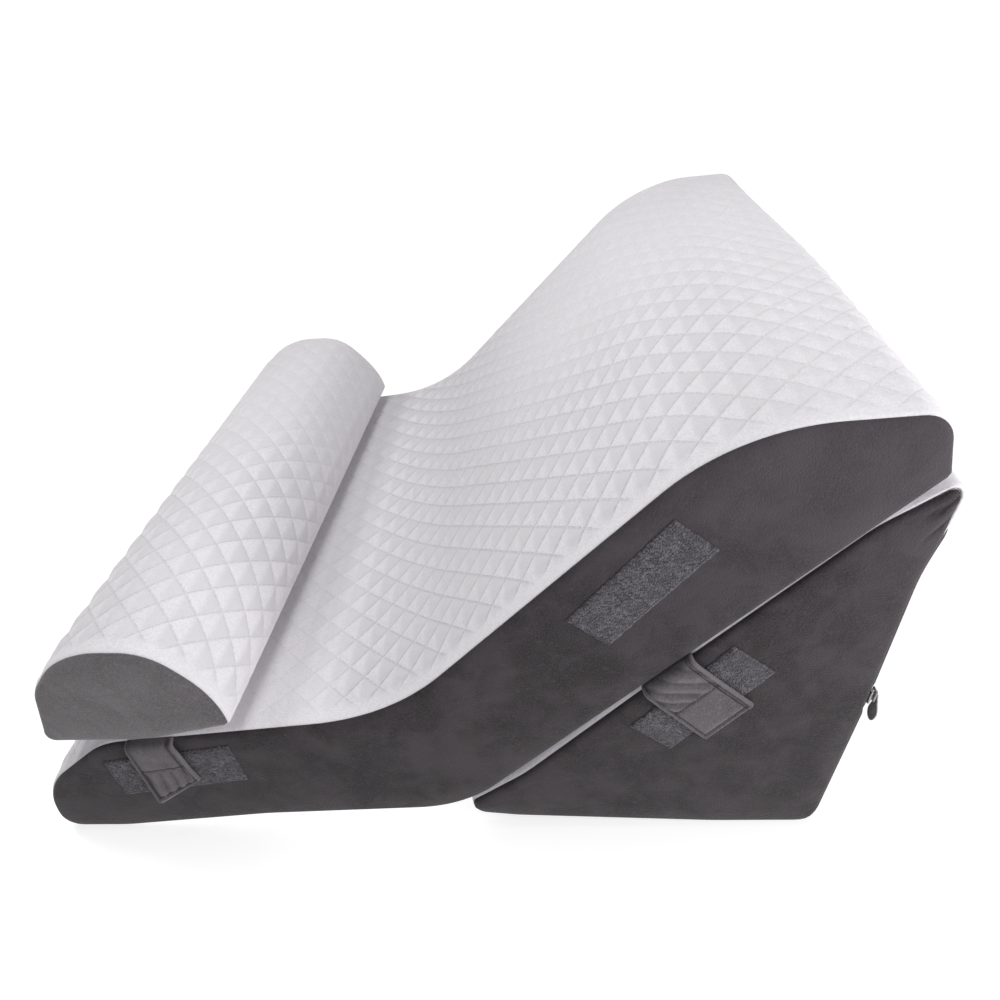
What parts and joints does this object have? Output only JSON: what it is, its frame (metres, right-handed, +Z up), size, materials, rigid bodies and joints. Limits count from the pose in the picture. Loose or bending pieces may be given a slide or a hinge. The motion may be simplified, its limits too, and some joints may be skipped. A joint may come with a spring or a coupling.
{
  "type": "wedge pillow",
  "caption": "Quilted bed wedge: a curved pad leaning on a triangular wedge, with a D-section neck roll on the pad's foot.",
  "frame": {"origin": "on the surface that it rests on, under the middle of the whole part", "axes": "+Z up, +X from the toe to the wedge's back, -Y the side that the picture shows"},
  "size_m": [0.749, 0.622, 0.4428],
  "materials": {
    "quilted_knit": "matt white knit, diamond quilted",
    "charcoal_velour": "matt charcoal velour",
    "grey_velour": "matt mid-grey velour",
    "loop_tape": "heathered grey loop pile",
    "tab_velour": "matt grey velour, double layer",
    "zip_cloth": "black woven tape",
    "zip_metal": "dark plated metal"
  },
  "bodies": {
    "root": {"contour_pad": "quilted_knit", "contour_pad_panel_near": "charcoal_velour", "contour_pad_panel_far": "charcoal_velour", "base_wedge": "quilted_knit", "base_wedge_panel_near": "charcoal_velour", "base_wedge_panel_far": "charcoal_velour", "base_wedge_back_panel": "charcoal_velour", "base_wedge_base_panel": "charcoal_velour", "neck_roll": "quilted_knit", "neck_roll_panel_near": "grey_velour", "neck_roll_panel_far": "grey_velour", "loop_tape_pad_near": "loop_tape", "loop_tape_pad_far": "loop_tape", "loop_tape_wedge_near": "loop_tape", "loop_tape_wedge_far": "loop_tape", "loop_tape_foot_near": "loop_tape", "loop_tape_foot_far": "loop_tape", "strap_tab_wedge_near": "tab_velour", "strap_tab_wedge_far": "tab_velour", "strap_tab_foot_near": "tab_velour", "strap_tab_foot_far": "tab_velour", "zip_tape": "zip_cloth", "zip_slider": "zip_metal", "zip_puller": "zip_metal"}
  },
  "joints": []
}
